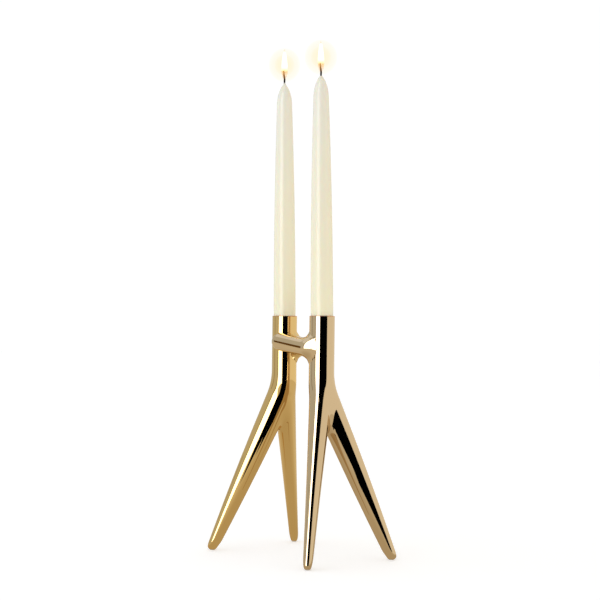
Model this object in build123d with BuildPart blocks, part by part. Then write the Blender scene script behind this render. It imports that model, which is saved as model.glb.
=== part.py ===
from build123d import *
import os
from math import cos, hypot, radians, sin, sqrt

# Tabletop candelabra: two slim standing figures, each a round torso on two splayed legs, with one
# arm round the other. Each torso carries a candle cup and a taper candle.
# Frame: +Z up, origin on the table under the middle of the pair. Y joins the two torsos, with the
# left figure at +Y, and X points from the front legs (-X) to the back legs (+X).
# The pair looks the same after a half turn about Z, so the left set is modelled and then turned.

# ---------------------------------------------------------------- driving dimensions, mm
figure_height = 250.0        # table to the rim of the candle cups
torso_spacing = 62.0         # between the two torso axes

candle_d = 23.2              # taper candle, butt end
candle_tip_d = 16.2          # where the taper ends and the tip begins to round
candle_shown = 248.0         # wax above the cup rim
candle_straight = 5.0        # parallel stretch above the rim before the taper starts
candle_nose = 26.0           # height of the rounded tip
socket_depth = 22.0          # candle below the cup rim
candle_clearance = 0.3       # radial, candle in its cup
wick_d = 1.8
wick_shown = 12.5

cup_wall = 0.4               # drawn sleeve
cup_floor = 0.8
cup_rim = 0.6                # flange that lies on the torso's end
torso_wall = 0.8             # round the cup
chamber_wall = 3.0           # round the hollow below the cup, where the arms are screwed on
chamber_floor_z = 204.0

hip_z = 174.0                # the straight part of a leg points at the torso axis at this height
foot_out = 56.6              # foot from the torso axis along X, where the leg's line meets the table
foot_away = 49.7             # the same along Y, away from the other figure
hip_top_z = 192.0            # the torso starts to bend into the legs here
section_step = 10.0          # between the level sections that a leg is lofted through
hip_bend_reach = (0.3, 1.7)      # leg's centre from the torso axis, one and two steps below hip_top_z
hip_bend_length = (0.35, 1.3)    # how much the half length there is over the torso's radius
hip_bend_width = (0.3, 0.8)      # how much the half width there is under it
foot_half_length = 6.0       # half length and half width of a leg's level section at the table,
foot_half_width = 4.6        # were it not rounded into a toe
leg_swell = 8.1
leg_swell_fall = 0.82
toe_h = 9.0                  # the leg rounds into its toe at about this height
toe_steps = 4                # level sections of the toe, besides the ankle's
toe_tuck = 2.0               # the toe ends where the leg's line is this far above the pad

arm_d = 18.8
arm_offset = 11.8            # arm axis from the plane of the two torso axes
arm_mid_z = 219.9            # height of the arm's axis halfway between the torsos
arm_rise = 0.125             # rise per mm from shoulder to hand
shoulder_set_in = 9.0        # arm's round end from its own torso axis, towards the other figure
hand_set_in = 8.3            # the same at the other torso

screw_d = 4.0
screw_bite = 6.0             # thread in the arm
hole_lead = 2.0              # the arm's screw hole starts this far inside its seat
screw_hole_clearance = 0.2   # radial, in the torso wall
screw_head_d = 7.0
screw_head_h = 2.2
screw_key = 2.5              # hexagon across flats
screw_key_depth = 1.3
head_clearance = 0.2         # radial, head in its spot face
seat_below_wall = 0.1        # spot face below the deepest line of the chamber wall
shoulder_swing = 20.0        # degrees that a screw turns from the X direction towards the arm
hand_swing = 30.0
hand_screw_drop = 1.2        # hand screw below the arm's axis, so that its head clears the cup

dowel_d = 4.0
dowel_length = 14.0
upper_dowel_z = 192.0
lower_dowel_z = 155.0
lower_dowel_away = 6.0       # lower dowel from the torso axis, away from the other figure

pad_d = 5.2
pad_h = 0.8
pad_edge = 0.2
toe_land = 0.15              # flat of the toe round its pad
pad_stem_d = 2.4
pad_stem_h = 6.0

# ---------------------------------------------------------------- worked out from them
cup_bore_r = candle_d / 2 + candle_clearance
cup_r = cup_bore_r + cup_wall
torso_r = cup_r + torso_wall
chamber_r = torso_r - chamber_wall
torso_y = torso_spacing / 2
torso_top = figure_height - cup_rim
socket_floor_z = figure_height - socket_depth
cup_bottom_z = socket_floor_z - cup_floor
candle_top_z = figure_height + candle_shown

toe_half = pad_d / 2 + toe_land
foot_reach = hypot(foot_out, foot_away)
lean_x = foot_out / foot_reach
lean_y = foot_away / foot_reach

arm_r = arm_d / 2
shoulder_y = torso_y - shoulder_set_in
hand_y = -(torso_y - hand_set_in)

seat_rho = chamber_r + seat_below_wall
thread_end_rho = torso_r + screw_bite


def leg_reach(height):
    """Distance of the leg's centre from the torso axis, on its straight part."""
    return (hip_z - height) * foot_reach / hip_z


def leg_section(height):
    """Level section of the straight part of a leg: height, reach, half length, half width.

    The half length is along the lean and swells a little at mid height. The half width grows
    from the foot to the torso's own radius at the hip.
    """
    share = height / hip_top_z
    half_length = foot_half_length + leg_swell * share * (2 - leg_swell_fall * share)
    half_width = foot_half_width + (torso_r - foot_half_width) * share * (3 + share) / 4
    return height, leg_reach(height), half_length, half_width


# Level sections from the torso's own circle, through the bend of the hip, down to the ankle
leg_sections = [(hip_top_z, 0.0, torso_r, torso_r)]
section_z = hip_top_z - section_step
for reach, over, under in zip(hip_bend_reach, hip_bend_length, hip_bend_width):
    leg_sections.append((section_z, reach, torso_r + over, torso_r - under))
    section_z -= section_step
while section_z > toe_h:
    leg_sections.append(leg_section(section_z))
    section_z -= section_step
ankle_z = leg_sections[-1][0]

# The toe rounds off from the ankle to the flat that the pad sits on
toe_reach = leg_reach(pad_h + toe_tuck)
toe_sections = []
for toe_step in range(toe_steps + 1):
    toe_share = toe_step / toe_steps
    height, reach, half_length, half_width = leg_section(ankle_z + (pad_h - ankle_z) * toe_share)
    rounding = sqrt(1 - toe_share ** 2)
    toe_sections.append((
        height,
        reach + (toe_reach - reach) * toe_share ** 3,
        toe_half + (half_length - toe_half) * rounding,
        toe_half + (half_width - toe_half) * rounding,
    ))


def arm_height(y):
    """Height of the left arm's axis at y: it rises towards the right figure at -Y."""
    return arm_mid_z - arm_rise * y


def foot_plane(side, reach, height):
    """Level plane centred on a leg of the left figure, with x along the leg's lean.

    side is -1 for the front leg and 1 for the back leg.
    """
    centre = (side * lean_x * reach, torso_y + lean_y * reach, height)
    return Plane(origin=centre, x_dir=(side * lean_x, lean_y, 0), z_dir=(0, 0, 1))


def radial_plane(axis_y, side, swing, height, rho):
    """Plane facing outwards from the torso axis at axis_y, at distance rho from it."""
    out = (side * cos(radians(swing)), -sin(radians(swing)) * (1 if axis_y > 0 else -1), 0)
    return Plane(origin=(out[0] * rho, axis_y + out[1] * rho, height), z_dir=out)


shoulder_screw_z = arm_height(shoulder_y)
hand_screw_z = arm_height(hand_y) - hand_screw_drop

# The left arm is on the +X side. Its shoulder screw is in the left torso, its hand screw in the
# right one. The right arm's hand screw, a half turn on, sits in the left torso on the -X side.
shoulder_place = (torso_y, 1, shoulder_swing, shoulder_screw_z)
hand_place = (-torso_y, 1, hand_swing, hand_screw_z)
other_hand_place = (torso_y, -1, hand_swing, hand_screw_z)

dowel_places = ((torso_y, upper_dowel_z), (torso_y + lower_dowel_away, lower_dowel_z))


# ---------------------------------------------------------------- the left figure's two castings
def figure_half(side, screw_place):
    """Half a torso with one leg, parted on the plane X = 0.

    side is -1 for the front half and 1 for the back half, and screw_place says where the screw of
    the arm on that side goes through the wall.
    """
    with BuildPart() as half:
        for sections in (leg_sections, toe_sections):
            for height, reach, half_length, half_width in sections:
                with BuildSketch(foot_plane(side, reach, height)):
                    if half_length > half_width:
                        Ellipse(half_length, half_width)
                    else:
                        Circle(half_width)
            loft()
        with BuildSketch(Plane.XY.offset(hip_top_z)):
            with Locations((0, torso_y)):
                Circle(torso_r)
        extrude(amount=torso_top - hip_top_z)
        split(bisect_by=Plane.YZ, keep=Keep.TOP if side > 0 else Keep.BOTTOM)
        # cup bore, and the chamber below it
        with BuildSketch(Plane.XY.offset(cup_bottom_z)):
            with Locations((0, torso_y)):
                Circle(cup_r)
        extrude(amount=figure_height - cup_bottom_z, mode=Mode.SUBTRACT)
        with BuildSketch(Plane.XY.offset(chamber_floor_z)):
            with Locations((0, torso_y)):
                Circle(chamber_r)
        extrude(amount=cup_bottom_z - chamber_floor_z, mode=Mode.SUBTRACT)
        # spot face and clearance hole for the screw that is driven from the chamber
        with BuildSketch(radial_plane(*screw_place, seat_rho)):
            Circle(screw_head_d / 2 + head_clearance)
        extrude(amount=-seat_rho / 2, mode=Mode.SUBTRACT)
        with BuildSketch(radial_plane(*screw_place, seat_rho)):
            Circle(screw_d / 2 + screw_hole_clearance)
        extrude(amount=2 * chamber_wall, mode=Mode.SUBTRACT)
        # dowel holes in the joint face
        for dowel_y, dowel_z in dowel_places:
            with BuildSketch(Plane(origin=(0, dowel_y, dowel_z), z_dir=(1, 0, 0))):
                Circle(dowel_d / 2)
            extrude(amount=dowel_length / 2, both=True, mode=Mode.SUBTRACT)
        # hole for the foot pad's stem, straight up into the toe
        with BuildSketch(foot_plane(side, toe_reach, pad_h)):
            Circle(pad_stem_d / 2)
        extrude(amount=pad_stem_h, mode=Mode.SUBTRACT)
    return half


left_front_half = figure_half(-1, other_hand_place)
left_back_half = figure_half(1, shoulder_place)

# ---------------------------------------------------------------- what joins the halves
with BuildPart() as left_hip_dowels:
    for dowel_y, dowel_z in dowel_places:
        with BuildSketch(Plane(origin=(0, dowel_y, dowel_z), z_dir=(1, 0, 0))):
            Circle(dowel_d / 2)
        extrude(amount=dowel_length / 2, both=True)

# ---------------------------------------------------------------- arm and its two screws
arm_start = Vector(arm_offset, shoulder_y, arm_height(shoulder_y))
arm_end = Vector(arm_offset, hand_y, arm_height(hand_y))
arm_length = (arm_end - arm_start).length
arm_plane = Plane(origin=arm_start, x_dir=arm_end - arm_start, z_dir=(1, 0, 0))

with BuildPart() as left_arm:
    with BuildSketch(arm_plane):
        with BuildLine():
            CenterArc((0, 0), arm_r, 90, 90)
            Line((0, arm_r), (arm_length, arm_r))
            CenterArc((arm_length, 0), arm_r, 0, 90)
            Line((arm_length + arm_r, 0), (-arm_r, 0))
        make_face()
    revolve(axis=Axis(arm_start, arm_end - arm_start))
    # its seats on the two torsos
    with BuildSketch(Plane.XY.offset(chamber_floor_z - arm_d)):
        with Locations((0, torso_y), (0, -torso_y)):
            Circle(torso_r)
    extrude(amount=figure_height - chamber_floor_z + arm_d, mode=Mode.SUBTRACT)
    for place in (shoulder_place, hand_place):
        with BuildSketch(radial_plane(*place, torso_r - hole_lead)):
            Circle(screw_d / 2)
        extrude(amount=hole_lead + screw_bite, mode=Mode.SUBTRACT)


def arm_screw(place):
    """Socket-headed screw from the chamber wall into the arm."""
    with BuildPart() as screw:
        with BuildSketch(radial_plane(*place, seat_rho)):
            Circle(screw_d / 2)
        extrude(amount=thread_end_rho - seat_rho)
        with BuildSketch(radial_plane(*place, seat_rho)):
            Circle(screw_head_d / 2)
        extrude(amount=-screw_head_h)
        with BuildSketch(radial_plane(*place, seat_rho - screw_head_h)):
            RegularPolygon(screw_key / 2, 6, major_radius=False)
        extrude(amount=screw_key_depth, mode=Mode.SUBTRACT)
    return screw


left_shoulder_screw = arm_screw(shoulder_place)
left_hand_screw = arm_screw(hand_place)

# ---------------------------------------------------------------- candle cup
with BuildPart() as left_candle_cup:
    with BuildSketch(Plane.XY.offset(cup_bottom_z)):
        with Locations((0, torso_y)):
            Circle(cup_r)
    extrude(amount=torso_top - cup_bottom_z)
    with BuildSketch(Plane.XY.offset(torso_top)):
        with Locations((0, torso_y)):
            Circle(torso_r)
    extrude(amount=cup_rim)
    with BuildSketch(Plane.XY.offset(socket_floor_z)):
        with Locations((0, torso_y)):
            Circle(cup_bore_r)
    extrude(amount=socket_depth, mode=Mode.SUBTRACT)

# ---------------------------------------------------------------- candle and wick
taper_start_z = figure_height + candle_straight
nose_z = candle_top_z - candle_nose
taper_mid_z = (taper_start_z + nose_z) / 2
# one long arc that leaves the parallel stretch without a kink
taper_drop = (candle_d - candle_tip_d) / 2
taper_length = nose_z - taper_start_z
arc_r = (taper_length ** 2 + taper_drop ** 2) / (2 * taper_drop)
taper_mid_r = candle_d / 2 - arc_r + sqrt(arc_r ** 2 - (taper_mid_z - taper_start_z) ** 2)
wick_r = wick_d / 2
# where the rounded nose meets the wick
nose_end_z = nose_z + candle_nose * sqrt(1 - (wick_d / candle_tip_d) ** 2)
nose_share = 0.7
nose_mid = (candle_tip_d / 2 * nose_share, nose_z + candle_nose * sqrt(1 - nose_share ** 2))

with BuildPart() as left_candle:
    with BuildSketch(Plane(origin=(0, torso_y, 0), x_dir=(1, 0, 0), z_dir=(0, -1, 0))):
        with BuildLine():
            Polyline(
                (wick_r, nose_end_z),
                (wick_r, socket_floor_z),
                (candle_d / 2, socket_floor_z),
                (candle_d / 2, taper_start_z),
            )
            ThreePointArc(
                (candle_d / 2, taper_start_z),
                (taper_mid_r, taper_mid_z),
                (candle_tip_d / 2, nose_z),
            )
            Spline((candle_tip_d / 2, nose_z), nose_mid, (wick_r, nose_end_z))
        make_face()
    revolve(axis=Axis((0, torso_y, 0), (0, 0, 1)))

with BuildPart() as left_wick:
    with BuildSketch(Plane.XY.offset(socket_floor_z)):
        with Locations((0, torso_y)):
            Circle(wick_r)
    extrude(amount=candle_top_z + wick_shown - socket_floor_z)


# ---------------------------------------------------------------- foot pads
def foot_pad(side):
    """Glide button under one toe of the left figure, with a stem pressed up into it."""
    with BuildPart() as pad:
        with BuildSketch(foot_plane(side, toe_reach, 0)):
            Circle(pad_d / 2)
        extrude(amount=pad_h)
        chamfer(pad.faces().sort_by(Axis.Z)[0].edges(), pad_edge)
        with BuildSketch(foot_plane(side, toe_reach, pad_h)):
            Circle(pad_stem_d / 2)
        extrude(amount=pad_stem_h)
    return pad


left_front_foot_pad = foot_pad(-1)
left_back_foot_pad = foot_pad(1)

# ---------------------------------------------------------------- the two sets of pieces
left_set = {
    "front_half": left_front_half,
    "back_half": left_back_half,
    "hip_dowels": left_hip_dowels,
    "arm": left_arm,
    "shoulder_screw": left_shoulder_screw,
    "hand_screw": left_hand_screw,
    "candle_cup": left_candle_cup,
    "front_foot_pad": left_front_foot_pad,
    "back_foot_pad": left_back_foot_pad,
    "candle": left_candle,
    "wick": left_wick,
}
# a half turn swaps front and back
turned_name = {
    "front_half": "back_half",
    "back_half": "front_half",
    "front_foot_pad": "back_foot_pad",
    "back_foot_pad": "front_foot_pad",
}

pieces = {}
for name, piece in left_set.items():
    pieces["left_" + name] = piece
    with BuildPart() as turned:
        add(piece.part.rotate(Axis.Z, 180))
    pieces["right_" + turned_name.get(name, name)] = turned

os.makedirs("parts", exist_ok=True)
for name, piece in pieces.items():
    piece.part.label = name
    export_step(piece.part, "parts/" + name + ".step")
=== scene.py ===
"""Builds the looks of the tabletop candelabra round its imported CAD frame.

The frame gives every size and place. The pieces that show are rebuilt here as fine meshes: two
figures, each in two halves, with an arm each, rimmed candle cups, taper candles, wicks and flames.
Lengths are in metres in the frame's own axes: +Z up, Y from the right figure to the left one, and
X from the front legs to the back legs.
"""

import logging
import math
from dataclasses import dataclass
from enum import Enum
from typing import Callable, Iterable, Sequence

import bmesh
import bpy
import numpy as np
from mathutils import Matrix, Vector


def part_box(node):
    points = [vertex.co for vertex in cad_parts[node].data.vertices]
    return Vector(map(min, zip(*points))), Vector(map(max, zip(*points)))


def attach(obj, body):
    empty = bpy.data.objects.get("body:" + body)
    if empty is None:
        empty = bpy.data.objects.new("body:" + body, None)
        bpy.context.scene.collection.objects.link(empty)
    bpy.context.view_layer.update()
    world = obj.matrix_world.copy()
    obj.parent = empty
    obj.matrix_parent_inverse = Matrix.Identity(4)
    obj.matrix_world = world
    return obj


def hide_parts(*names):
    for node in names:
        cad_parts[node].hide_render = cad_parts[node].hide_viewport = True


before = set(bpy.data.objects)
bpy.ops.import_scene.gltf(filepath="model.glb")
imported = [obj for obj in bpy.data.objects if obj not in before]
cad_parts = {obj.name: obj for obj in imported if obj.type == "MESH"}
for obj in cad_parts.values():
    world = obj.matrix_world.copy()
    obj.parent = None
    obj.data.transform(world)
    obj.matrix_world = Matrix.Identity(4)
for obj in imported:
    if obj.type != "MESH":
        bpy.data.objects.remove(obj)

LOG = logging.getLogger("candelabra")
MM = 0.001
SHARP_ANGLE = math.radians(35.0)
MERGE_DISTANCE = 1e-7
TINY = 1e-9
CANDLE_LEAN = (math.radians(-0.58), math.radians(-0.72))
CANDLE_CLEARANCE = 0.3 * MM
PAD_INSET = 0.15 * MM

Tone = tuple[float, float, float]
BLACK: Tone = (0.0, 0.0, 0.0)
WHITE: Tone = (1.0, 1.0, 1.0)


class Body(Enum):
    """The frame's moving bodies."""

    ROOT = "root"
    LEFT_CANDLE = "left_candle"
    RIGHT_CANDLE = "right_candle"


class Side(Enum):
    """Which figure a piece belongs to; the value is its side of the Y axis."""

    LEFT = 1
    RIGHT = -1

    @property
    def word(self) -> str:
        """The side's name as node names spell it."""
        return self.name.lower()

    @property
    def candle_body(self) -> Body:
        """The body that this side's candle rides on."""
        return Body.LEFT_CANDLE if self is Side.LEFT else Body.RIGHT_CANDLE

    @property
    def turn(self) -> Matrix:
        """The half turn about Z that carries the left figure to this side."""
        return Matrix.Identity(4) if self is Side.LEFT else Matrix.Rotation(math.pi, 4, "Z")

    @property
    def candle_sway(self) -> float:
        """How far this side's candle leans, as a share of CANDLE_LEAN."""
        return 0.78 if self is Side.LEFT else 1.0

    @property
    def tip_sharpness(self) -> float:
        """How pointed this side's candle is."""
        return 0.75 if self is Side.LEFT else 0.3


class CardUse(Enum):
    """What a studio card is for."""

    MIRRORED = "seen in polished metal"
    LIGHTING = "lights dull surfaces"


# ------------------------------------------------------------------ finishes


class Graph:
    """The node tree of a material or of the world, with short calls to add and join nodes."""

    def __init__(self, name: str, world: bool = False) -> None:
        """Starts an empty tree.

        Args:
            name: the material's or world's name.
            world: whether it is the world's.
        """
        self.owner = (bpy.data.worlds if world else bpy.data.materials).new(name)
        self.owner.use_nodes = True
        self.tree = self.owner.node_tree
        self.tree.nodes.clear()
        self.out = self.add("OutputWorld" if world else "OutputMaterial")

    def add(self, kind: str, **values: object) -> bpy.types.Node:
        """Adds a node.

        Args:
            kind: the node's type, without the ShaderNode prefix.
            values: properties of the node, or its inputs by name with _ for a space; a socket is
                joined to the input.

        Returns:
            The new node.
        """
        node = self.tree.nodes.new("ShaderNode" + kind)
        for key, value in values.items():
            socket = node.inputs.get(key.replace("_", " "))
            if socket is None:
                setattr(node, key, value)
            elif isinstance(value, bpy.types.NodeSocket):
                self.tree.links.new(value, socket)
            else:
                socket.default_value = value
        return node

    def finish(self, shader: bpy.types.Node) -> bpy.types.ID:
        """Makes a shader the surface, and hands over the material or world."""
        self.tree.links.new(shader.outputs[0], self.out.inputs["Surface"])
        return self.owner

    def mix(
        self, share: bpy.types.NodeSocket, first: bpy.types.Node, second: bpy.types.Node
    ) -> bpy.types.Node:
        """Mixes two shaders.

        Args:
            share: the socket with the second one's share.
            first: the shader that shows at 0.
            second: the shader that shows at 1.

        Returns:
            The mixing node.
        """
        node = self.add("MixShader", Fac=share)
        self.tree.links.new(first.outputs[0], node.inputs[1])
        self.tree.links.new(second.outputs[0], node.inputs[2])
        return node

    def place(self, scale: Sequence[float] = (1.0, 1.0, 1.0)) -> bpy.types.NodeSocket:
        """Object coordinates, times a scale along each axis."""
        coords = self.add("TexCoord")
        return self.add("Mapping", Scale=scale, Vector=coords.outputs["Object"]).outputs["Vector"]

    def noise(self, scale: Sequence[float], detail: float = 3.0) -> bpy.types.NodeSocket:
        """Noise of so many cells per metre along each axis, about 0.5 on average."""
        return self.add("TexNoise", Scale=1.0, Detail=detail, Vector=self.place(scale)).outputs["Fac"]

    def height(self, low: float, high: float) -> bpy.types.NodeSocket:
        """Height in the frame, from 0 at low to 1 at high, both in metres."""
        z = self.add("SeparateXYZ", Vector=self.place()).outputs["Z"]
        return self.add("MapRange", From_Min=low, From_Max=high, Value=z).outputs["Result"]

    def span(self, value: bpy.types.NodeSocket, low: float, high: float) -> bpy.types.NodeSocket:
        """Rescales a 0 to 1 value to run from low to high."""
        return self.add("MapRange", To_Min=low, To_Max=high, Value=value).outputs["Result"]

    def bump(self, value: bpy.types.NodeSocket, strength: float, depth: float) -> bpy.types.NodeSocket:
        """A normal bumped by a 0 to 1 height value, with the relief's depth in metres."""
        return self.add("Bump", Strength=strength, Distance=depth, Height=value).outputs["Normal"]

    def ramp(self, value: bpy.types.NodeSocket, stops: Iterable[tuple]) -> bpy.types.NodeSocket:
        """A colour ramp.

        Args:
            value: the socket that drives it.
            stops: pairs of place and colour, from first to last.

        Returns:
            The socket with the colour.
        """
        node = self.add("ValToRGB", Fac=value)
        items = list(stops)
        elements = node.color_ramp.elements
        while len(elements) < len(items):
            elements.new(0.5)
        for element, (place, colour) in zip(elements, items):
            element.position = place
            element.color = (*colour, 1.0)
        return node.outputs["Color"]


@dataclass(frozen=True)
class PolishedPlate:
    """Mirror-polished plated metal: a trace of cloudiness and polishing lines under the shine."""

    name: str
    tone: Tone
    deep: Tone
    roughness: float = 0.035

    def make(self) -> bpy.types.Material:
        """Makes the finish.

        Returns:
            The finished material.
        """
        g = Graph(self.name)
        cloud = g.noise((14.0, 14.0, 9.0), 4.0)
        lines = g.noise((900.0, 900.0, 40.0), 2.0)
        return g.finish(g.add(
            "BsdfPrincipled",
            Metallic=1.0,
            Base_Color=g.ramp(cloud, ((0.3, self.deep), (0.7, self.tone))),
            Roughness=g.span(cloud, self.roughness * 0.7, self.roughness * 1.3),
            Normal=g.bump(lines, 0.003, 0.000005),
        ))


@dataclass(frozen=True)
class CandleWax:
    """Cream wax, softly lit through, with the faint waviness of a dipped taper."""

    name: str
    foot_z: float
    tip_z: float

    def make(self) -> bpy.types.Material:
        """Makes the finish.

        Returns:
            The finished material.
        """
        g = Graph(self.name)
        rise = g.height(self.foot_z, self.tip_z)
        wax = ((0.0, (0.95, 0.88, 0.65)), (0.5, (0.92, 0.87, 0.69)), (1.0, (0.87, 0.85, 0.74)))
        dip = g.noise((60.0, 60.0, 14.0), 4.0)
        return g.finish(g.add(
            "BsdfPrincipled",
            IOR=1.46,
            Subsurface_Weight=0.35,
            Subsurface_Scale=0.005,
            Subsurface_Radius=(1.0, 0.65, 0.4),
            Base_Color=g.ramp(rise, wax),
            Roughness=g.span(dip, 0.13, 0.22),
            Normal=g.bump(dip, 0.12, 0.0002),
        ))


@dataclass(frozen=True)
class CharredWick:
    """Braided cotton, cream inside the wax, burnt black above it, with an ember at the top."""

    name: str
    wax_z: float
    top_z: float
    clean_h: float = 4.0 * MM

    def make(self) -> bpy.types.Material:
        """Makes the finish.

        Returns:
            The finished material.
        """
        g = Graph(self.name)
        burn = g.height(self.wax_z - self.clean_h, self.top_z)
        colours = (
            (0.0, (0.70, 0.64, 0.50)),
            (0.2, (0.010, 0.007, 0.004)),
            (0.6, (0.006, 0.004, 0.002)),
            (1.0, (0.05, 0.02, 0.005)),
        )
        ember = ((0.0, BLACK), (0.45, BLACK), (0.75, (0.14, 0.045, 0.0)), (1.0, (0.34, 0.14, 0.02)))
        return g.finish(g.add(
            "BsdfPrincipled",
            Roughness=0.9,
            Specular_IOR_Level=0.0,
            Base_Color=g.ramp(burn, colours),
            Emission_Color=g.ramp(burn, ember),
            Emission_Strength=1.2,
            Normal=g.bump(g.noise((3000.0, 3000.0, 1500.0)), 0.6, 0.0002),
        ))


@dataclass(frozen=True)
class CandleFlame:
    """A clear flame: orange and thin round the wick, pale yellow in the middle, pink at its tip."""

    name: str
    low_z: float
    high_z: float

    def make(self) -> bpy.types.Material:
        """Makes the finish.

        Returns:
            The finished material.
        """
        g = Graph(self.name)
        rise = g.height(self.low_z, self.high_z)
        colours = (
            (0.0, (0.58, 0.30, 0.14)),
            (0.26, (0.62, 0.36, 0.12)),
            (0.36, (1.0, 0.92, 0.62)),
            (0.45, (1.0, 1.0, 0.96)),
            (0.86, (1.0, 1.0, 0.96)),
            (0.92, (0.66, 0.54, 0.42)),
            (1.0, (0.60, 0.46, 0.36)),
        )
        thick = ((0.0, 0.0), (0.1, 0.18), (0.26, 0.4), (0.38, 1.0), (0.86, 1.0), (0.93, 0.6), (1.0, 0.2))
        glow = g.add("Emission", Strength=1.7, Color=g.ramp(rise, colours))
        share = g.ramp(rise, ((at, (value,) * 3) for at, value in thick))
        return g.finish(g.mix(share, g.add("BsdfTransparent"), glow))


@dataclass(frozen=True)
class WarmAir:
    """Painted glow round a flame: a pale yellow absorbing tint, clear at its skin and stronger with its
    depth.
    """

    name: str
    tint: Tone = (1.0, 0.93, 0.72)
    density: float = 26.0

    def make(self) -> bpy.types.Material:
        """Makes the finish.

        Returns:
            The finished material.
        """
        g = Graph(self.name)
        # painted glow: this absorbing tint stands in for the flame's halo of light
        tint = g.add("VolumeAbsorption", Density=self.density, Color=(*self.tint, 1.0))
        g.tree.links.new(tint.outputs["Volume"], g.out.inputs["Volume"])
        return g.finish(g.add("BsdfTransparent"))


@dataclass(frozen=True)
class PlainStock:
    """Steel or nylon of the small parts, with fine grain."""

    name: str
    tone: Tone
    metallic: float
    roughness: float

    def make(self) -> bpy.types.Material:
        """Makes the finish.

        Returns:
            The finished material.
        """
        g = Graph(self.name)
        grain = g.noise((700.0, 700.0, 700.0), 3.0)
        dark = tuple(0.8 * c for c in self.tone)
        return g.finish(g.add(
            "BsdfPrincipled",
            Metallic=self.metallic,
            Base_Color=g.ramp(grain, ((0.3, dark), (0.7, self.tone))),
            Roughness=g.span(grain, self.roughness * 0.8, self.roughness * 1.2),
            Normal=g.bump(grain, 0.1, 0.00005),
        ))


# ------------------------------------------------------------------ mesh helpers


def put(bm: bmesh.types.BMesh, name: str, material: bpy.types.Material) -> bpy.types.Object:
    """Puts a mesh into the scene.

    Args:
        bm: the mesh; it is freed.
        name: the object's name.
        material: its finish.

    Returns:
        The object.
    """
    mesh = bpy.data.meshes.new(name)
    bm.to_mesh(mesh)
    bm.free()
    mesh.materials.append(material)
    thing = bpy.data.objects.new(name, mesh)
    bpy.context.scene.collection.objects.link(thing)
    return thing


def finish_piece(
    bm: bmesh.types.BMesh,
    name: str,
    material: bpy.types.Material,
    body: Body,
    nodes: Sequence[str] = (),
    turn: Matrix | None = None,
) -> bpy.types.Object:
    """Turns a bmesh into a finished piece that rides on its body.

    Args:
        bm: the mesh, in metres at its place for the left figure; it is freed.
        name: the piece's name.
        material: its finish.
        body: the body that it rides on.
        nodes: CAD nodes that it stands for.
        turn: a turn for the right figure's copy.

    Returns:
        The piece.
    """
    bmesh.ops.remove_doubles(bm, verts=bm.verts, dist=MERGE_DISTANCE)
    bmesh.ops.recalc_face_normals(bm, faces=bm.faces)
    if turn is not None:
        bmesh.ops.transform(bm, matrix=turn, verts=bm.verts)
    piece = put(bm, name, material)
    piece.data.shade_smooth()
    piece.data.set_sharp_from_angle(angle=SHARP_ANGLE)
    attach(piece, body.value)
    if nodes:
        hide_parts(*nodes)
    LOG.info("%s: %d faces, rides on %s", name, len(piece.data.polygons), body.value)
    return piece


def wrap_grid(points: np.ndarray) -> bmesh.types.BMesh:
    """Shapes a grid of quads to rows of points.

    Args:
        points: array of rows by columns by 3, in metres.

    Returns:
        The shaped mesh; points that fall together are merged when the piece is finished.
    """
    rows, columns = points.shape[:2]
    bm = bmesh.new()
    bmesh.ops.create_grid(bm, x_segments=columns - 1, y_segments=rows - 1, size=1.0)
    for vert in bm.verts:
        column = round((vert.co.x + 1.0) / 2.0 * (columns - 1))
        row = round((vert.co.y + 1.0) / 2.0 * (rows - 1))
        vert.co = Vector(points[row, column])
    return bm


def spin_profile(
    profile: Sequence[tuple[float, float]], centre: Vector, steps: int
) -> bmesh.types.BMesh:
    """Spins an outline round a vertical axis.

    Args:
        profile: pairs of radius and height, from one end of the outline to the other.
        centre: a point on the axis.
        steps: segments in the full turn.

    Returns:
        The spun mesh.
    """
    bm = bmesh.new()
    verts = [bm.verts.new((centre.x + r, centre.y, z)) for r, z in profile]
    edges = [bm.edges.new(pair) for pair in zip(verts, verts[1:])]
    bmesh.ops.spin(
        bm,
        geom=verts + edges,
        cent=(centre.x, centre.y, 0.0),
        axis=(0.0, 0.0, 1.0),
        angle=2.0 * math.pi,
        steps=steps,
        use_merge=True,
    )
    return bm


def arc(
    centre: tuple[float, float], radius: float, start: float, end: float, steps: int
) -> list[tuple[float, float]]:
    """Points on an arc of an outline.

    Args:
        centre: radius and height of the arc's centre.
        radius: the arc's radius.
        start: angle of the first point, in degrees.
        end: angle of the last point.
        steps: segments.

    Returns:
        Pairs of radius and height.
    """
    angles = (math.radians(start + (end - start) * i / steps) for i in range(steps + 1))
    return [(centre[0] + radius * math.cos(a), centre[1] + radius * math.sin(a)) for a in angles]


def smoothstep(value: np.ndarray) -> np.ndarray:
    """Eases a 0 to 1 value at both ends, clamping what lies outside."""
    t = np.clip(value, 0.0, 1.0)
    return t * t * (3.0 - 2.0 * t)


def soft_union(a: np.ndarray, b: np.ndarray, reach: np.ndarray | float) -> np.ndarray:
    """Union of two distance fields with a rounded inside corner.

    Args:
        a: first field.
        b: second field.
        reach: how far the rounding reaches, about the fillet's radius.

    Returns:
        The joined field.
    """
    reach = np.maximum(reach, TINY)
    h = np.maximum(reach - np.abs(a - b), 0.0) / reach
    return np.minimum(a, b) - h * h * reach / 4.0


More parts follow.
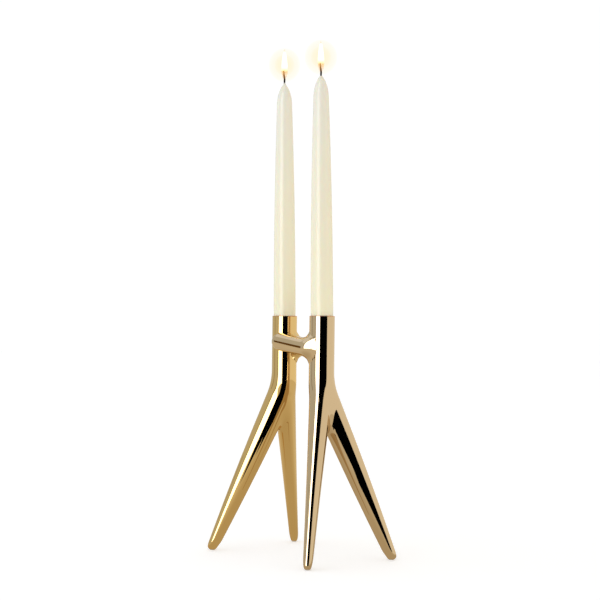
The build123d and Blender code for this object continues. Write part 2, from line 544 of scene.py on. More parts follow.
def march(
    field: Callable[[np.ndarray], np.ndarray], start: np.ndarray, ray: np.ndarray, far: float
) -> np.ndarray:
    """Finds where rays first leave a solid.

    Args:
        field: function of points, negative inside the solid.
        start: the rays' starts, inside it.
        ray: unit directions, one for each start.
        far: the longest distance tried.

    Returns:
        The points on the surface.
    """
    steps, halvings = 160, 24
    low = np.zeros(start.shape[:-1])
    high = np.full(start.shape[:-1], far)
    found = np.zeros(start.shape[:-1], bool)
    for i in range(1, steps + 1):
        t = far * i / steps
        outside = field(start + ray * t) > 0.0
        new = outside & ~found
        high = np.where(new, t, high)
        low = np.where(new, far * (i - 1) / steps, low)
        found |= outside
    for _ in range(halvings):
        middle = (low + high) / 2.0
        outside = field(start + ray * middle[..., None]) > 0.0
        high = np.where(outside, middle, high)
        low = np.where(outside, low, middle)
    return start + ray * ((low + high) / 2.0)[..., None]


# ------------------------------------------------------------------ the figures


@dataclass
class Figure:
    """One standing figure: a round torso on two splayed legs, parted on the plane X = 0."""

    side: Side
    plate: bpy.types.Material
    slot: str
    torso_y: float
    torso_r: float
    top_z: float
    toe_x: float
    toe_y: float
    pad_h: float
    toe_r: float
    cup_r: float
    cup_bottom_z: float
    chamber_r: float = 10.1 * MM
    chamber_floor_z: float = 204.0 * MM
    hip_z: float = 174.0 * MM
    hip_top_z: float = 192.0 * MM
    hip_bend: float = 5.0 * MM
    hip_ease: float = 8.0 * MM
    hip_span: float = 34.0 * MM
    foot_half_length: float = 6.0 * MM
    foot_half_width: float = 4.6 * MM
    leg_swell: float = 8.1 * MM
    leg_swell_fall: float = 0.82
    toe_h: float = 12.0 * MM
    toe_tuck: float = 2.0 * MM
    toe_narrowing: float = 0.07
    crotch_reach: float = 10.5 * MM
    crotch_sharpness: float = 0.4
    crotch_row: float = 0.04 * MM
    columns: int = 72
    toe_steps: int = 14

    def __post_init__(self) -> None:
        """Works out the legs' lean from where the toes stand."""
        toe_reach = math.hypot(self.toe_x, self.toe_y - self.torso_y)
        self.lean_x = self.toe_x / toe_reach
        self.lean_y = (self.toe_y - self.torso_y) / toe_reach
        self.toe_reach = toe_reach
        self.slope = toe_reach / (self.hip_z - self.pad_h - self.toe_tuck)

    def leg_reach(self, z: np.ndarray) -> np.ndarray:
        """How far a leg's centre stands out from the torso axis at each height.

        Args:
            z: heights.

        Returns:
            The distances; they die away smoothly above the hip.
        """
        bend = np.logaddexp(0.0, (self.hip_z - z) / self.hip_bend) * self.hip_bend
        return bend * self.slope * smoothstep((self.hip_top_z - z) / self.hip_ease)

    def leg_halves(self, z: np.ndarray) -> tuple[np.ndarray, np.ndarray]:
        """Half length and half width of a leg's level section.

        Args:
            z: heights.

        Returns:
            Half length along the lean, and half width across it.
        """
        share = z / self.hip_top_z
        length = self.foot_half_length + self.leg_swell * share * (2.0 - self.leg_swell_fall * share)
        at_hip = z > self.hip_top_z - self.hip_span
        ease = np.where(at_hip, smoothstep((self.hip_top_z - z) / self.hip_span), 1.0)
        length = self.torso_r + (length - self.torso_r) * ease
        width = self.foot_half_width
        width = width + (self.torso_r - width) * share * (3.0 + share) / 4.0
        return length, np.minimum(width, self.torso_r)

    def leg_field(self, points: np.ndarray, way: int) -> tuple[np.ndarray, np.ndarray, np.ndarray]:
        """Radial distance from a leg's level section, and which way it grows.

        Args:
            points: points in the frame.
            way: -1 for the front leg and 1 for the back leg.

        Returns:
            The distances, negative inside, and the level direction away from the section as x
            and y of unit length.
        """
        x, y, z = points[..., 0], points[..., 1], points[..., 2]
        reach = self.leg_reach(z)
        length, width = self.leg_halves(z)
        dx = x - way * self.lean_x * reach
        dy = y - self.torso_y - self.lean_y * reach
        along = dx * way * self.lean_x + dy * self.lean_y
        across = -dx * self.lean_y + dy * way * self.lean_x
        out = np.hypot(along, across) + TINY
        distance = out - out / (np.hypot(along / length, across / width) + TINY)
        steep_along, steep_across = along / length**2, across / width**2
        steep = np.hypot(steep_along, steep_across) + TINY
        away_x = (steep_along * way * self.lean_x - steep_across * self.lean_y) / steep
        away_y = (steep_along * self.lean_y + steep_across * way * self.lean_x) / steep
        return distance, away_x, away_y

    def field(self, points: np.ndarray) -> np.ndarray:
        """Distance from both legs joined, rounded more where they meet at a sharper crease.

        Args:
            points: points in the frame.

        Returns:
            The distances, negative inside.
        """
        front, front_x, front_y = self.leg_field(points, -1)
        back, back_x, back_y = self.leg_field(points, 1)
        crease = (1.0 - front_x * back_x - front_y * back_y) / 2.0
        return soft_union(front, back, self.crotch_reach * crease**self.crotch_sharpness)

    def parting_line(self, z: float) -> tuple[float, float, float]:
        """Where the plane X = 0 cuts the figure at one height.

        Args:
            z: the height.

        Returns:
            The lowest value of the field there, and the near and far Y of the cut. Below the
            crotch the value is positive and both Y are where the legs stand closest.
        """
        nearest, farthest, samples = -1.1, 2.2, 1200
        ys = self.torso_y + np.linspace(nearest, farthest, samples) * self.torso_r
        line = np.stack([np.zeros_like(ys), ys, np.full_like(ys, z)], axis=-1)
        values = self.field(line)
        lowest = int(values.argmin())
        inside = np.nonzero(values < 0.0)[0]
        if len(inside) == 0:
            return float(values[lowest]), float(ys[lowest]), float(ys[lowest])
        first, last = inside[0], inside[-1]
        near = np.interp(0.0, [values[first], values[first - 1]], [ys[first], ys[first - 1]])
        far = np.interp(0.0, [values[last], values[last + 1]], [ys[last], ys[last + 1]])
        return float(values[lowest]), float(near), float(far)

    def crotch(self) -> float:
        """Finds where the two legs part.

        Returns:
            The height.
        """
        halvings = 30
        low, high = self.hip_z / 2.0, self.hip_z
        for _ in range(halvings):
            middle = (low + high) / 2.0
            if self.parting_line(middle)[0] > 0.0:
                low = middle
            else:
                high = middle
        return high

    def row_heights(self) -> list[float]:
        """Spaces the rows of the outer skin, closer together round the crotch.

        Returns:
            The rows' heights, from the top down.
        """
        crotch = self.crotch()
        near = [self.crotch_row * i * i for i in range(1, 11)]
        rows = list(np.linspace(self.top_z, self.hip_top_z, 9))
        rows += list(np.linspace(self.hip_top_z, crotch + near[-1], 28))[1:]
        rows += [crotch + step for step in reversed(near[:-1])]
        rows += [crotch] + [crotch - step for step in near]
        rows += list(np.linspace(crotch - near[-1], self.toe_h, 36))[1:]
        return rows

    def skin_row(self, z: float, way: int) -> np.ndarray:
        """One level row of the outer skin of a half.

        Args:
            z: the row's height.
            way: -1 for the front half and 1 for the back half.

        Returns:
            The row's points, from the near parting line round the outside to the far one.
        """
        reach = float(self.leg_reach(np.array(z)))
        centre = np.array([way * self.lean_x * reach, self.torso_y + self.lean_y * reach, z])
        _, near, far = self.parting_line(z)
        start = math.atan2(near - centre[1], way * centre[0])
        end = math.atan2(far - centre[1], way * centre[0])
        angles = np.linspace(start, end - 2.0 * math.pi, self.columns + 1)
        ray = np.stack([-way * np.cos(angles), np.sin(angles), np.zeros_like(angles)], axis=-1)
        row = march(self.field, np.broadcast_to(centre, ray.shape), ray, 2.0 * self.torso_r)
        if far - near > MERGE_DISTANCE:
            row[0] = (0.0, near, z)
            row[-1] = (0.0, far, z)
        return row

    def toe_rows(self, way: int) -> list[np.ndarray]:
        """Rows that round the leg off into its toe and close it under the pad.

        Args:
            way: -1 for the front leg and 1 for the back leg.

        Returns:
            The rows, from the leg down.
        """
        rows = []
        template = self.skin_row(self.toe_h, way)
        reach = float(self.leg_reach(np.array(self.toe_h)))
        centre = np.array([way * self.lean_x * reach, self.torso_y + self.lean_y * reach])
        end = np.array([way * self.toe_x, self.toe_y])
        spread = template[:, :2] - centre
        flat = spread / np.linalg.norm(spread, axis=1, keepdims=True) * self.toe_r
        for i in range(1, self.toe_steps + 1):
            share = math.sin(math.pi / 2.0 * i / self.toe_steps)
            z = self.toe_h + (self.pad_h - self.toe_h) * share
            straight = reach + (self.toe_h - z) * self.slope
            middle = np.array([way * self.lean_x, self.lean_y]) * straight + (0.0, self.torso_y)
            middle = middle + (end - middle) * share**3
            shrink = 1.0 - self.toe_narrowing * share
            row = flat + (spread * shrink - flat) * math.sqrt(max(0.0, 1.0 - share * share))
            rows.append(np.column_stack([middle + row, np.full(len(row), z)]))
        rows.append(np.column_stack([np.tile(end, (len(flat), 1)), np.full(len(flat), self.pad_h)]))
        return rows

    def bore_rows(self, way: int) -> list[np.ndarray]:
        """Rows of the hollow for the candle cup and the chamber below it.

        Args:
            way: -1 for the front half and 1 for the back half.

        Returns:
            The rows, from the floor up.
        """
        angles = np.linspace(-math.pi / 2.0, math.pi / 2.0, self.columns + 1)
        steps = [
            (0.0, self.chamber_floor_z),
            (self.chamber_r, self.chamber_floor_z),
            (self.chamber_r, self.cup_bottom_z),
            (self.cup_r, self.cup_bottom_z),
            (self.cup_r, self.top_z),
        ]
        rows = []
        for r, z in steps:
            x, y = way * r * np.cos(angles), self.torso_y + r * np.sin(angles)
            rows.append(np.column_stack([x, y, np.full_like(angles, z)]))
        return rows

    def half(self, way: int) -> bmesh.types.BMesh:
        """Mesh of one half, closed at the parting face.

        Args:
            way: -1 for the front half and 1 for the back half.

        Returns:
            The mesh, for the left figure.
        """
        skin = [self.skin_row(z, way) for z in self.row_heights()]
        points = np.array(self.bore_rows(way) + skin + self.toe_rows(way))
        bm = wrap_grid(points)
        bmesh.ops.remove_doubles(bm, verts=bm.verts, dist=MERGE_DISTANCE)
        rim = [edge for edge in bm.edges if edge.is_boundary]
        bmesh.ops.contextual_create(bm, geom=rim)
        return bm

    def build(self) -> list[bpy.types.Object]:
        """Builds the two halves and dresses them.

        Returns:
            The front and the back half as the left figure has them.
        """
        words = {-1: "front_half", 1: "back_half"}
        turn, pieces = self.side.turn, []
        for way in (-1, 1):
            name = f"{self.side.word}_{words[way * self.side.value]}"
            bm = self.half(way)
            pieces.append(finish_piece(bm, name + "_skin", self.plate, Body.ROOT, [name], turn))
        return pieces


@dataclass
class Arm:
    """An arm from its own torso, which it flows out of, to the other one, which it rests on."""

    side: Side
    plate: bpy.types.Material
    slot: str
    torso_y: float
    torso_r: float
    axis_x: float
    radius: float
    shoulder_set_in: float = 9.0 * MM
    hand_set_in: float = 8.3 * MM
    middle_z: float = 219.9 * MM
    rise: float = 0.125
    fillet: float = 10.0 * MM
    core: float = 15.6 * MM
    sunk: float = 0.05 * MM
    skin: float = 0.004 * MM
    around: int = 96
    along: int = 70
    cap_rows: int = 22

    def __post_init__(self) -> None:
        """Places the two ends of the arm's axis."""
        shoulder_y = self.torso_y - self.shoulder_set_in
        hand_y = self.hand_set_in - self.torso_y
        self.shoulder = Vector((self.axis_x, shoulder_y, self.middle_z - self.rise * shoulder_y))
        self.hand = Vector((self.axis_x, hand_y, self.middle_z - self.rise * hand_y))

    def field(self, points: np.ndarray) -> np.ndarray:
        """Distance from the arm, filleted to its own torso and cut by both.

        Args:
            points: points in the frame.

        Returns:
            The distances, negative inside.
        """
        start, end = np.array(self.shoulder), np.array(self.hand)
        span = end - start
        share = np.clip(((points - start) @ span) / (span @ span), 0.0, 1.0)
        bar = np.linalg.norm(points - (start + share[..., None] * span), axis=-1) - self.radius
        own = np.hypot(points[..., 0], points[..., 1] - self.torso_y) - self.torso_r
        other = np.hypot(points[..., 0], points[..., 1] + self.torso_y) - self.torso_r
        joined = soft_union(bar, own, self.fillet) + self.skin
        return np.maximum(joined, np.maximum(-own, -other) - self.sunk)

    def build(self) -> bpy.types.Object:
        """Casts rays from an axis inside the arm, and wraps a skin on where they leave it.

        Returns:
            The arm.
        """
        out = Vector((self.core - self.shoulder.x, 0.0, 0.0))
        start, end = self.shoulder + out, self.hand + out
        axis = (end - start).normalized()
        side = Vector((1.0, 0.0, 0.0))
        up = side.cross(axis).normalized()
        quarter = np.linspace(0.0, math.pi / 2.0, self.cap_rows + 1)
        stations = [(start, -math.cos(a), math.sin(a)) for a in quarter]
        stations += [(start.lerp(end, t), 0.0, 1.0) for t in np.linspace(0.0, 1.0, self.along)[1:]]
        stations += [(end, math.sin(a), math.cos(a)) for a in quarter[1:]]
        angles = np.linspace(0.0, 2.0 * math.pi, self.around + 1)
        ring = np.outer(np.cos(angles), np.array(side)) + np.outer(np.sin(angles), np.array(up))
        starts = np.array([[tuple(s[0])] * len(angles) for s in stations])
        rays = np.array([np.array(axis) * s[1] + ring * s[2] for s in stations])
        points = march(self.field, starts, rays, 3.0 * self.radius)
        points[:, -1] = points[:, 0]
        points[0] = points[0, 0]
        points[-1] = points[-1, 0]
        name, turn = f"{self.side.word}_arm", self.side.turn
        bm = wrap_grid(points)
        return finish_piece(bm, name + "_skin", self.plate, Body.ROOT, [name], turn)


# ------------------------------------------------------------------ what the figures carry


@dataclass
class CandleCup:
    """Drawn cup let into the torso, with a thin rounded rim on the torso's end."""

    side: Side
    material: bpy.types.Material
    axis_y: float
    rim_r: float
    top_z: float
    bottom_z: float
    bore_r: float
    wall: float = 0.4 * MM
    floor: float = 0.8 * MM
    rim_h: float = 0.6 * MM
    edge: float = 0.15 * MM
    steps: int = 160

    def build(self) -> bpy.types.Object:
        """Spins the cup.

        Returns:
            The cup.
        """
        sleeve_r = self.bore_r + self.wall
        under = self.top_z - self.rim_h
        e = self.edge
        profile = [(0.0, self.bottom_z)]
        profile += arc((sleeve_r - 2 * e, self.bottom_z + 2 * e), 2 * e, -90.0, 0.0, 4)
        profile += [(sleeve_r, under)]
        profile += arc((self.rim_r - e, under + e), e, -90.0, 0.0, 4)
        profile += arc((self.rim_r - e, self.top_z - e), e, 0.0, 90.0, 4)
        profile += arc((self.bore_r + e, self.top_z - e), e, 90.0, 180.0, 4)
        profile += [(self.bore_r, self.bottom_z + self.floor), (0.0, self.bottom_z + self.floor)]
        name = f"{self.side.word}_candle_cup"
        centre = Vector((0.0, self.axis_y, 0.0))
        bm = spin_profile(profile, centre, self.steps)
        return finish_piece(bm, name + "_spun", self.material, Body.ROOT, [name])


@dataclass
class Candle:
    """Taper candle with its wick and flame."""

    side: Side
    wax: bpy.types.Material
    cord: bpy.types.Material
    fire: bpy.types.Material
    air: bpy.types.Material
    axis_y: float
    butt_r: float
    foot_z: float
    wax_top_z: float
    wick_top_z: float
    rim_z: float
    straight_h: float = 5.0 * MM
    nose_h: float = 26.0 * MM
    tip_r: float = 8.1 * MM
    tip_turn: float = 0.93
    tip_bluntness: float = 1.15
    butt_edge: float = 0.6 * MM
    melt_h: float = 0.8 * MM
    melt_dip: float = 0.3 * MM
    seat_h: float = 22.0 * MM
    wick_r: float = 0.9 * MM
    wick_lean: float = 0.9 * MM
    wick_strands: int = 3
    wick_twist: float = 220.0
    flame_low: float = 10.0 * MM
    flame_rise: float = 23.5 * MM
    flame_r: float = 3.2 * MM
    air_r: float = 17.0 * MM
    air_rise: float = 24.0 * MM
    air_h: float = 36.0 * MM
    inner_glow: float = 0.62
    flame_belly: float = 0.3
    steps: int = 128

    def outline(self) -> list[tuple[float, float]]:
        """Half outline of the wax.

        Returns:
            Pairs of radius and height, from the middle of its foot to the wick.
        """
        straight_z = self.rim_z + self.straight_h
        nose_z = self.wax_top_z - self.nose_h
        drop = self.butt_r - self.tip_r
        length = nose_z - straight_z
        taper_r = (length**2 + drop**2) / (2.0 * drop)
        edge, taper_steps, nose_steps = self.butt_edge, 40, 24
        points = [(0.0, self.foot_z)]
        points += arc((self.butt_r - edge, self.foot_z + edge), edge, -90.0, 0.0, 5)
        for i in range(taper_steps + 1):
            z = straight_z + length * i / taper_steps
            points.append((self.butt_r - taper_r + math.sqrt(taper_r**2 - (z - straight_z) ** 2), z))
        for i in range(1, nose_steps + 1):
            a = math.pi / 2.0 * i / nose_steps * self.tip_turn
            power = self.tip_bluntness + self.side.tip_sharpness * math.sin(a) ** 2
            points.append((self.tip_r * math.cos(a) ** power, nose_z + self.nose_h * math.sin(a)))
        melt_z = self.wax_top_z - self.melt_h
        well_z = melt_z - self.melt_dip
        return points + [(self.wick_r * 1.6, melt_z), (self.wick_r * 0.8, well_z), (0.0, well_z)]

    def wick(self) -> bmesh.types.BMesh:
        """Twisted cord, straight in the wax and leaning a little above it.

        Returns:
            The cord.
        """
        around, knee_z = 18, self.wax_top_z - 2.0 * MM
        hidden = np.linspace(self.foot_z, knee_z, 40)
        heights = np.concatenate([hidden, np.linspace(knee_z, self.wick_top_z, 44)[1:]])
        free = self.wick_top_z - self.wax_top_z
        rows = [np.tile((0.0, self.axis_y, self.foot_z), (around + 1, 1))]
        angles = np.linspace(0.0, 2.0 * math.pi, around + 1)
        for z in heights:
            share = max(0.0, (z - self.wax_top_z) / free)
            swell = 1.0 + 0.35 * math.sqrt(share) - 0.6 * share**3
            strands = np.cos(self.wick_strands * (angles - self.wick_twist * z))
            r = self.wick_r * swell * (0.86 + 0.14 * strands)
            lean = self.wick_lean * share**2
            x, y = r * np.cos(angles) - lean, self.axis_y + r * np.sin(angles) + lean * 0.5
            rows.append(np.column_stack([x, y, np.full_like(angles, z)]))
        rows.append(np.tile(rows[-1][:-1].mean(axis=0), (around + 1, 1)))
        points = np.array(rows)
        points[:, -1] = points[:, 0]
        return wrap_grid(points)

    def flame(self) -> bmesh.types.BMesh:
        """Long narrow flame round the top of the wick.

        Returns:
            The flame.
        """
        low, high = self.wick_top_z - self.flame_low, self.wick_top_z + self.flame_rise
        belly, rows = self.flame_belly, 44
        profile = [(0.0, low)]
        for i in range(1, rows):
            t = i / rows
            foot = math.sqrt(math.sin(math.pi / 2.0 * min(1.0, t / belly)))
            tip = math.cos(math.pi / 2.0 * max(0.0, (t - belly) / (1.0 - belly))) ** 0.75
            profile.append((self.flame_r * foot * tip, low + (high - low) * t))
        profile.append((0.0, high))
        return spin_profile(profile, Vector((0.0, self.axis_y, 0.0)), 48)

    def warm_air(self, share: float) -> bmesh.types.BMesh:
        """Egg of painted glow round the flame.

        Args:
            share: its size as a share of the outer egg's.

        Returns:
            The egg.
        """
        bm = bmesh.new()
        bmesh.ops.create_uvsphere(bm, u_segments=48, v_segments=32, radius=1.0)
        middle = self.wick_top_z + self.air_rise - self.air_h / 2.0
        size = Vector((self.air_r, self.air_r, self.air_h / 2.0)) * share
        bmesh.ops.scale(bm, vec=size, verts=bm.verts)
        bmesh.ops.translate(bm, vec=(0.0, self.axis_y, middle), verts=bm.verts)
        return bm

    def leaning(self, bm: bmesh.types.BMesh) -> bmesh.types.BMesh:
        """Tips a mesh with the candle, which stands a little askew in its cup.

        Args:
            bm: the upright mesh.

        Returns:
            The same mesh, tipped about the middle of the seat and raised clear of the cup's floor.
        """
        seat = Vector((0.0, self.axis_y, self.foot_z + self.seat_h / 2.0))
        about_x, about_y = (angle * self.side.candle_sway for angle in CANDLE_LEAN)
        tip = Matrix.Rotation(about_x, 3, "X") @ Matrix.Rotation(about_y, 3, "Y")
        bmesh.ops.rotate(bm, cent=seat, matrix=tip, verts=bm.verts)
        lift = self.butt_r * math.hypot(about_x, about_y)
        bmesh.ops.translate(bm, vec=(0.0, 0.0, lift), verts=bm.verts)
        return bm

    def build(self) -> list[bpy.types.Object]:
        """Builds wax, wick, flame and the painted glow round it, which all lift together.

        Returns:
            The pieces.
        """
        word, body = self.side.word, self.side.candle_body
        centre = Vector((0.0, self.axis_y, 0.0))
        wax = self.leaning(spin_profile(self.outline(), centre, self.steps))
        wick, flame = self.leaning(self.wick()), self.leaning(self.flame())
        # the two eggs paint the flame's glow round it
        outer, inner = self.leaning(self.warm_air(1.0)), self.leaning(self.warm_air(self.inner_glow))
        return [
            finish_piece(wax, f"{word}_candle_wax", self.wax, body, [f"{word}_candle"]),
            finish_piece(wick, f"{word}_wick_cord", self.cord, body, [f"{word}_wick"]),
            finish_piece(flame, f"{word}_flame", self.fire, body),
            finish_piece(outer, f"{word}_warm_air", self.air, body),
            finish_piece(inner, f"{word}_warm_air_heart", self.air, body),
        ]


@dataclass
class FootPad:
    """Nylon glide under one toe, with its stem in the leg."""

    node: str
    material: bpy.types.Material
    edge: float = 0.25 * MM
    stem_r: float = 1.2 * MM
    steps: int = 64

    def build(self, pad_h: float) -> bpy.types.Object:
        """Spins the pad.

        Args:
            pad_h: the flange's height, in metres.

        Returns:
            The piece.
        """
        low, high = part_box(self.node)
        centre = (low + high) / 2.0
        r = (high.x - low.x) / 2.0
        profile = [(0.0, low.z)]
        profile += arc((r - self.edge, low.z + self.edge), self.edge, -90.0, 0.0, 5)
        profile += [(r, low.z + pad_h), (self.stem_r, low.z + pad_h), (self.stem_r, high.z), (0.0, high.z)]
        bm = spin_profile(profile, centre, self.steps)
        return finish_piece(bm, self.node + "_glide", self.material, Body.ROOT, [self.node])


# ------------------------------------------------------------------ the studio


@dataclass(frozen=True)
class Card:
    """A big card bent round the object, standing on the floor or lying on it.

    Angles are its left and right edges, in degrees to the camera's right of the direction towards
    the camera. Reaches and heights are the distances and heights of its other two edges.
    """

    name: str
    angles: tuple[float, float]
    reaches: tuple[float, float]
    heights: tuple[float, float]
    tone: Tone
    use: CardUse = CardUse.MIRRORED


def between(ends: tuple[float, float], share: float) -> float:
    """The value at a share of the way from the first end to the second."""
    return ends[0] + (ends[1] - ends[0]) * share


FULL_HEIGHT = (0.0, 2.4)
ON_FLOOR = (1.0 * MM, 1.0 * MM)
CARDS = (
    Card("soft_light", (-55.0, -20.0), (1.9, 1.9), FULL_HEIGHT, (3.5, 3.5, 3.6)),
    Card("side_fill", (-120.0, -20.0), (1.9, 1.9), FULL_HEIGHT, (0.98, 1.02, 1.10), CardUse.LIGHTING),
    Card("dark_flag", (-20.0, 47.0), (1.7, 1.7), (0.0, 1.6), BLACK),
    Card("dim_side", (20.0, 140.0), (1.9, 1.9), FULL_HEIGHT, (0.76, 0.70, 0.60), CardUse.LIGHTING),
    Card("dark_seam", (-62.0, -58.0), (2.0, 2.0), FULL_HEIGHT, (0.10, 0.08, 0.06)),
    Card("cool_wall", (-178.0, -62.0), (2.6, 2.6), FULL_HEIGHT, (0.56, 0.545, 0.48)),
    Card("warm_wall", (47.0, 178.0), (2.6, 2.6), FULL_HEIGHT, (0.86, 0.79, 0.66)),
    Card("arm_flag", (-103.0, -99.0), (2.5, 2.5), (0.0, 0.7), (0.14, 0.07, 0.012)),
    Card("dark_board", (0.0, 46.0), (0.32, 1.75), ON_FLOOR, BLACK),
    Card("far_board", (-20.0, 0.0), (0.46, 1.75), ON_FLOOR, BLACK),
)


@dataclass
class Studio:
    """Pale floor, white surround, one big soft light, a dark flag, and the camera."""

    azimuth: float = 39.12
    distance: float = 1.5404
    eye_z: float = 0.2367
    lens: float = 88.3
    shift: tuple[float, float] = (-0.0051, 0.0478)
    roll: float = 0.69
    backdrop_light: float = 1.02
    room_light: float = 0.8
    floor_lift: float = 0.34
    floor_r: float = 12.0
    floor_paint: Tone = (0.84, 0.84, 0.84)
    floor_tone: Tone = (0.68, 0.60, 0.46)
    floor_painted_shade: Tone = (0.52, 0.43, 0.29)
    floor_fade: float = 0.45

    def heading(self, angle: float) -> Vector:
        """Level direction from the object at an angle from the camera's own.

        Args:
            angle: degrees to the camera's right of the direction towards the camera.

        Returns:
            The unit direction.
        """
        a = math.radians(self.azimuth)
        towards = Vector((-math.sin(a), -math.cos(a), 0.0))
        right = Vector((math.cos(a), -math.sin(a), 0.0))
        t = math.radians(angle)
        return towards * math.cos(t) + right * math.sin(t)

    def camera(self) -> None:
        """Sets up the camera, level, with a small roll."""
        data = bpy.data.cameras.new("camera")
        data.lens = self.lens
        data.sensor_width = 36.0
        data.shift_x, data.shift_y = self.shift
        data.clip_end = 50.0
        camera = bpy.data.objects.new("camera", data)
        camera.location = self.heading(0.0) * self.distance + Vector((0.0, 0.0, self.eye_z))
        look = (-self.heading(0.0)).to_track_quat("-Z", "Y").to_matrix().to_4x4()
        turn = look @ Matrix.Rotation(math.radians(self.roll), 4, "Z")
        camera.rotation_euler = turn.to_euler()
        bpy.context.scene.collection.objects.link(camera)
        bpy.context.scene.camera = camera

    def hang(self, spec: Card) -> None:
        """Hangs a card that the camera doesn't see.

        Args:
            spec: the card's place, tone and use.
        """
        bm = bmesh.new()
        bmesh.ops.create_grid(bm, x_segments=24, y_segments=1, size=1.0)
        for vert in bm.verts:
            u, v = (vert.co.x + 1.0) / 2.0, (vert.co.y + 1.0) / 2.0
            way = self.heading(between(spec.angles, u)) * between(spec.reaches, v)
            vert.co = Vector((way.x, way.y, between(spec.heights, v)))
        g = Graph(spec.name)
        card = put(bm, spec.name, g.finish(g.add("Emission", Color=(*spec.tone, 1.0), Strength=1.0)))
        card.visible_camera = False
        card.visible_diffuse = spec.use is CardUse.LIGHTING
        card.visible_glossy = spec.use is CardUse.MIRRORED
        card.visible_shadow = False

    def floor(self) -> None:
        """Lays the pale floor; polished metal sees a warmer, darker floor, with painted shade near the
        object.
        """
        bm = bmesh.new()
        bmesh.ops.create_circle(bm, cap_ends=True, segments=96, radius=self.floor_r)
        g = Graph("floor")
        shader = g.add(
            "BsdfPrincipled",
            Roughness=0.9,
            Base_Color=(*self.floor_paint, 1.0),
            Specular_IOR_Level=0.1,
            Emission_Color=(*WHITE, 1.0),
            Emission_Strength=self.floor_lift,
        )
        # painted shade: the floor seen in the metal darkens towards the object, standing in for the legs'
        # shade and reflection
        near = g.place((1.0 / self.floor_fade,) * 3)
        spread = g.add("TexGradient", gradient_type="SPHERICAL", Vector=near).outputs["Fac"]
        tones = ((0.0, self.floor_tone), (0.75, self.floor_painted_shade), (1.0, self.floor_painted_shade))
        mirrored = g.add("Emission", Strength=1.0, Color=g.ramp(spread, tones))
        path = g.add("LightPath")
        floor = put(bm, "floor", g.finish(g.mix(path.outputs["Is Glossy Ray"], shader, mirrored)))

    def surround(self) -> None:
        """Lights the room: white to look at, a little dimmer in reflections."""
        g = Graph("surround", world=True)
        seen = g.add("Background", Color=(*WHITE, 1.0), Strength=self.backdrop_light)
        room = g.add("Background", Color=(*WHITE, 1.0), Strength=self.room_light)
        path = g.add("LightPath")
        bpy.context.scene.world = g.finish(g.mix(path.outputs["Is Camera Ray"], room, seen))

    def build(self) -> None:
        """Sets the whole studio."""
        self.camera()
        self.surround()
        self.floor()
        for card in CARDS:
            self.hang(card)
        bpy.context.scene.view_settings.view_transform = "Standard"


# ------------------------------------------------------------------ assembly


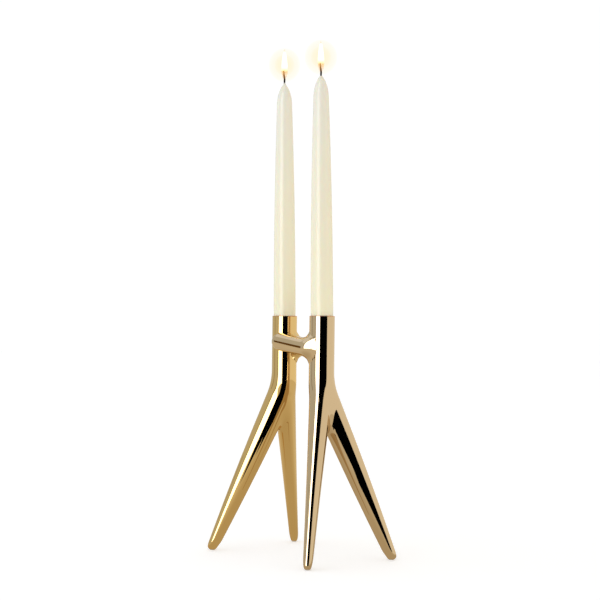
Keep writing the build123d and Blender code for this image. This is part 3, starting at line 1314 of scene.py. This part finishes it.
def build_side(
    side: Side, plate: bpy.types.Material, slot: str, small: dict[str, bpy.types.Material]
) -> None:
    """Builds one figure and all that it carries.

    Args:
        side: which figure.
        plate: its finish.
        slot: the record's slot for that finish; it is not used.
        small: finishes of the small parts, by slot.
    """
    cup_low, cup_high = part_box(f"{Side.LEFT.word}_candle_cup")
    pad_low, pad_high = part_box(f"{Side.LEFT.word}_back_foot_pad")
    arm_low, arm_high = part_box(f"{Side.LEFT.word}_arm")
    candle_low, candle_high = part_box(f"{Side.LEFT.word}_candle")
    half_low, half_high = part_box(f"{Side.LEFT.word}_back_half")
    wick_top_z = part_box(f"{Side.LEFT.word}_wick")[1].z
    torso_y = (cup_low.y + cup_high.y) / 2.0
    torso_r = (cup_high.x - cup_low.x) / 2.0
    butt_r = (candle_high.x - candle_low.x) / 2.0
    bore_r = butt_r + CANDLE_CLEARANCE
    Figure(
        side=side,
        plate=plate,
        slot=slot,
        torso_y=torso_y,
        torso_r=torso_r,
        top_z=half_high.z,
        toe_x=(pad_low.x + pad_high.x) / 2.0,
        toe_y=(pad_low.y + pad_high.y) / 2.0,
        pad_h=half_low.z,
        toe_r=(pad_high.x - pad_low.x) / 2.0 + PAD_INSET,
        cup_r=bore_r + CandleCup.wall,
        cup_bottom_z=cup_low.z,
    ).build()
    Arm(
        side=side,
        plate=plate,
        slot=slot,
        torso_y=torso_y,
        torso_r=torso_r,
        axis_x=(arm_high.x + arm_low.x) / 2.0,
        radius=(arm_high.x - arm_low.x) / 2.0,
    ).build()
    axis_y = side.value * torso_y
    CandleCup(
        side=side,
        material=small["cup_brass"],
        axis_y=axis_y,
        rim_r=torso_r,
        top_z=cup_high.z,
        bottom_z=cup_low.z,
        bore_r=bore_r,
    ).build()
    Candle(
        side=side,
        wax=small["candle_wax"],
        cord=small["wick_cotton"],
        fire=small["flame"],
        air=small["warm_air"],
        axis_y=axis_y,
        butt_r=butt_r,
        foot_z=candle_low.z,
        wax_top_z=candle_high.z,
        wick_top_z=wick_top_z,
        rim_z=cup_high.z,
    ).build()
    for place in ("front", "back"):
        FootPad(f"{side.word}_{place}_foot_pad", small["pad_nylon"]).build(half_low.z)
    hidden = {"hip_dowels": "dowel_steel", "shoulder_screw": "screw_steel", "hand_screw": "screw_steel"}
    for word, slot_name in hidden.items():
        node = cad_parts[f"{side.word}_{word}"]
        node.data.materials.clear()
        node.data.materials.append(small[slot_name])


def main() -> None:
    """Builds every piece."""
    logging.basicConfig(level=logging.INFO, format="%(name)s: %(message)s")
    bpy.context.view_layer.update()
    Studio().build()
    wax_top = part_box("left_candle")[1].z
    wick_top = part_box("left_wick")[1].z
    rim_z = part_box("left_candle_cup")[1].z
    small = {
        "cup_brass": PolishedPlate("cup_brass", (0.80, 0.42, 0.24), (0.72, 0.34, 0.18), 0.08).make(),
        "candle_wax": CandleWax("candle_wax", rim_z, wax_top).make(),
        "wick_cotton": CharredWick("wick_cotton", wax_top, wick_top).make(),
        "flame": CandleFlame("flame", wick_top - Candle.flame_low, wick_top + Candle.flame_rise).make(),
        "warm_air": WarmAir("warm_air").make(),
        "pad_nylon": PlainStock("pad_nylon", (0.62, 0.60, 0.55), 0.0, 0.45).make(),
        "dowel_steel": PlainStock("dowel_steel", (0.60, 0.60, 0.60), 1.0, 0.3).make(),
        "screw_steel": PlainStock("screw_steel", (0.50, 0.50, 0.51), 1.0, 0.35).make(),
    }
    gold = PolishedPlate("gold_metal", (0.86, 0.63, 0.29), (0.82, 0.59, 0.26)).make()
    champagne = PolishedPlate("champagne_metal", (0.76, 0.61, 0.41), (0.72, 0.57, 0.38)).make()
    build_side(Side.LEFT, gold, "gold_metal", small)
    build_side(Side.RIGHT, champagne, "champagne_metal", small)


if __name__ == "__main__":
    main()
